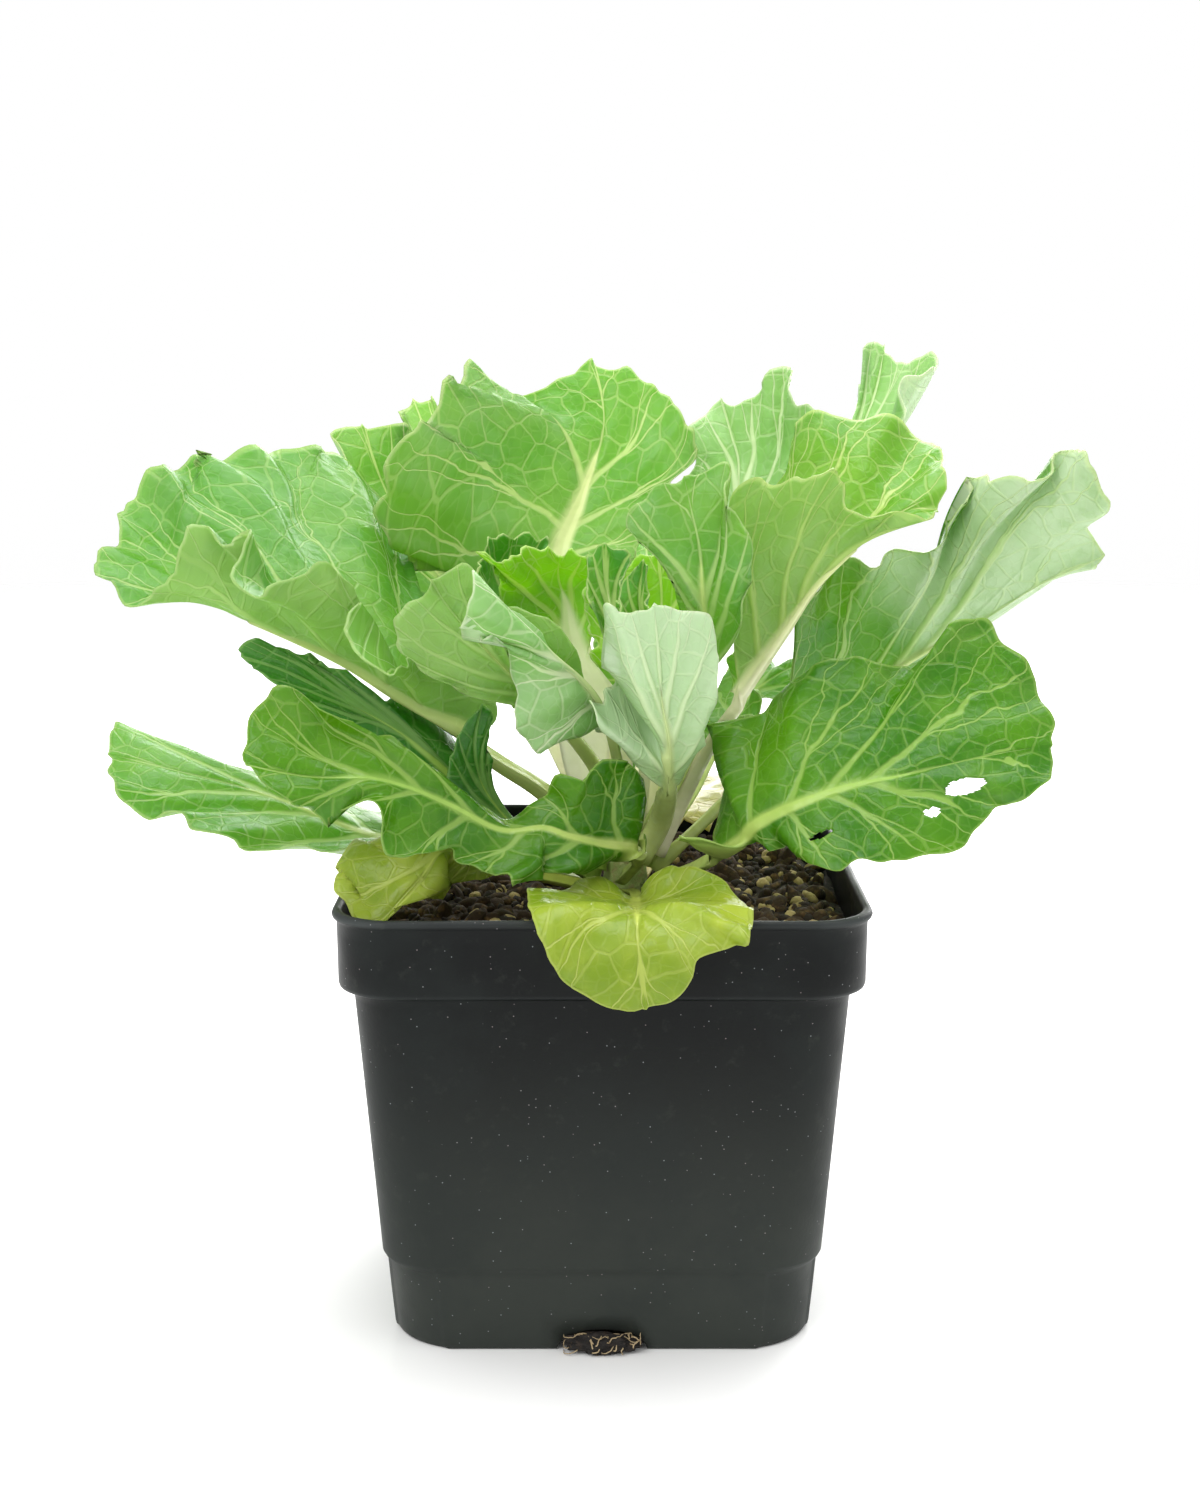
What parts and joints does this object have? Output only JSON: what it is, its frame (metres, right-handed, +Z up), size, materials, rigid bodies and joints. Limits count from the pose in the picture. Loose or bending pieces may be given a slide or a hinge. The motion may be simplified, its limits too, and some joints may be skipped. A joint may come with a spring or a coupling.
{
  "type": "ornamental kale plant in nursery pot",
  "caption": "Young open ornamental kale with large wavy leaves, growing from a short stem in a black square nursery pot filled with potting mix.",
  "frame": {"origin": "centre of the pot's flat underside, on the surface it stands on", "axes": "+Z up along the plant, -Y towards the side of the pot with the roots at its drain notch, +X to the right seen from there"},
  "size_m": [0.2555, 0.1909, 0.2402],
  "materials": {
    "pot_plastic": "black polypropylene, slightly scuffed",
    "potting_mix": "coarse damp potting mix, stands in for soil",
    "fine_roots": "pale roots and mix, dry",
    "kale_stem": "smooth pale green stem",
    "leaf": "waxy green leaf, softly glossy",
    "old_leaf": "yellowing leaf, softly glossy"
  },
  "bodies": {
    "root": {"pot": "pot_plastic", "soil": "potting_mix", "root_tuft": "fine_roots", "stem": "kale_stem", "leaf_back_centre": "leaf", "leaf_left_upper": "leaf", "leaf_left_outer": "leaf", "leaf_left_front": "leaf", "leaf_left_shaded": "leaf", "leaf_left_small": "leaf", "leaf_heart_back": "leaf", "leaf_left_folded": "leaf", "leaf_left_backlit": "leaf", "leaf_near_centre": "leaf", "leaf_right_curled": "leaf", "leaf_right_upper": "leaf", "leaf_back_right": "leaf", "leaf_far_right": "leaf", "leaf_right_outer": "leaf", "leaf_right_front": "leaf", "leaf_front_yellow": "old_leaf", "leaf_left_yellow": "old_leaf", "leaf_back_left": "leaf", "leaf_far_left": "leaf", "leaf_pale_back": "old_leaf", "leaf_right_low": "leaf", "leaf_heart_left": "leaf", "leaf_heart_right": "leaf", "leaf_heart_inner": "leaf", "leaf_heart_inner_right": "leaf", "leaf_rear_right": "leaf", "leaf_rear_low": "leaf"}
  },
  "joints": []
}
